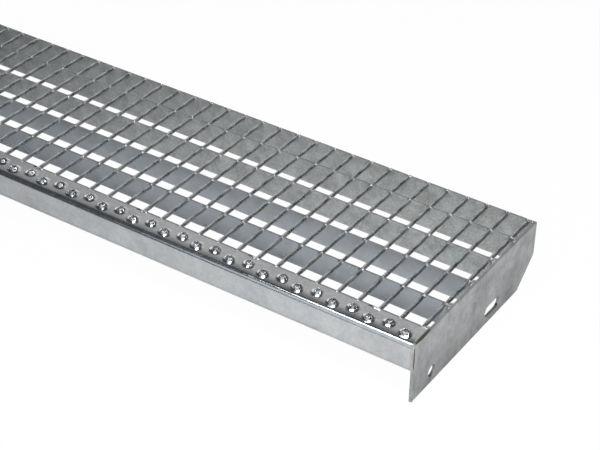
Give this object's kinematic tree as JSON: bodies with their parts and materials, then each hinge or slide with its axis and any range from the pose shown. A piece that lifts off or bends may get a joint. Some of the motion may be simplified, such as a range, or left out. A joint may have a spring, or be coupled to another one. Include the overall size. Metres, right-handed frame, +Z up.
{
  "type": "metal stair tread",
  "caption": "Galvanised grating stair tread with flat bearing bars, pressed-in square cross bars, a folded nosing with raised pierced nubs, and end plates with a bolt hole and a slot.",
  "frame": {"origin": "middle of the tread's footprint, level with the lower edges of the end plates", "axes": "+X along the tread to its right end as seen from the front, +Y from the nosing to the rear, +Z up"},
  "size_m": [0.8, 0.244, 0.0716],
  "materials": {
    "end_plates": "hot-dip galvanised, matte with faint upright streaks",
    "bearing_bars": "hot-dip galvanised, satin with faint spangle",
    "cross_bars": "hot-dip galvanised, satin",
    "nosing": "hot-dip galvanised, bright satin"
  },
  "bodies": {
    "root": {"end_plate_left": "end_plates", "end_plate_right": "end_plates", "nosing": "nosing", "bearing_bar_1": "bearing_bars", "bearing_bar_2": "bearing_bars", "bearing_bar_3": "bearing_bars", "bearing_bar_4": "bearing_bars", "bearing_bar_5": "bearing_bars", "bearing_bar_6": "bearing_bars", "cross_bar_01": "cross_bars", "cross_bar_02": "cross_bars", "cross_bar_03": "cross_bars", "cross_bar_04": "cross_bars", "cross_bar_05": "cross_bars", "cross_bar_06": "cross_bars", "cross_bar_07": "cross_bars", "cross_bar_08": "cross_bars", "cross_bar_09": "cross_bars", "cross_bar_10": "cross_bars", "cross_bar_11": "cross_bars", "cross_bar_12": "cross_bars", "cross_bar_13": "cross_bars", "cross_bar_14": "cross_bars", "cross_bar_15": "cross_bars", "cross_bar_16": "cross_bars", "cross_bar_17": "cross_bars", "cross_bar_18": "cross_bars", "cross_bar_19": "cross_bars", "cross_bar_20": "cross_bars", "cross_bar_21": "cross_bars", "cross_bar_22": "cross_bars", "cross_bar_23": "cross_bars", "cross_bar_24": "cross_bars", "cross_bar_25": "cross_bars", "cross_bar_26": "cross_bars", "cross_bar_27": "cross_bars", "cross_bar_28": "cross_bars", "cross_bar_29": "cross_bars", "cross_bar_30": "cross_bars", "cross_bar_31": "cross_bars", "cross_bar_32": "cross_bars", "cross_bar_33": "cross_bars", "cross_bar_34": "cross_bars"}
  },
  "joints": []
}
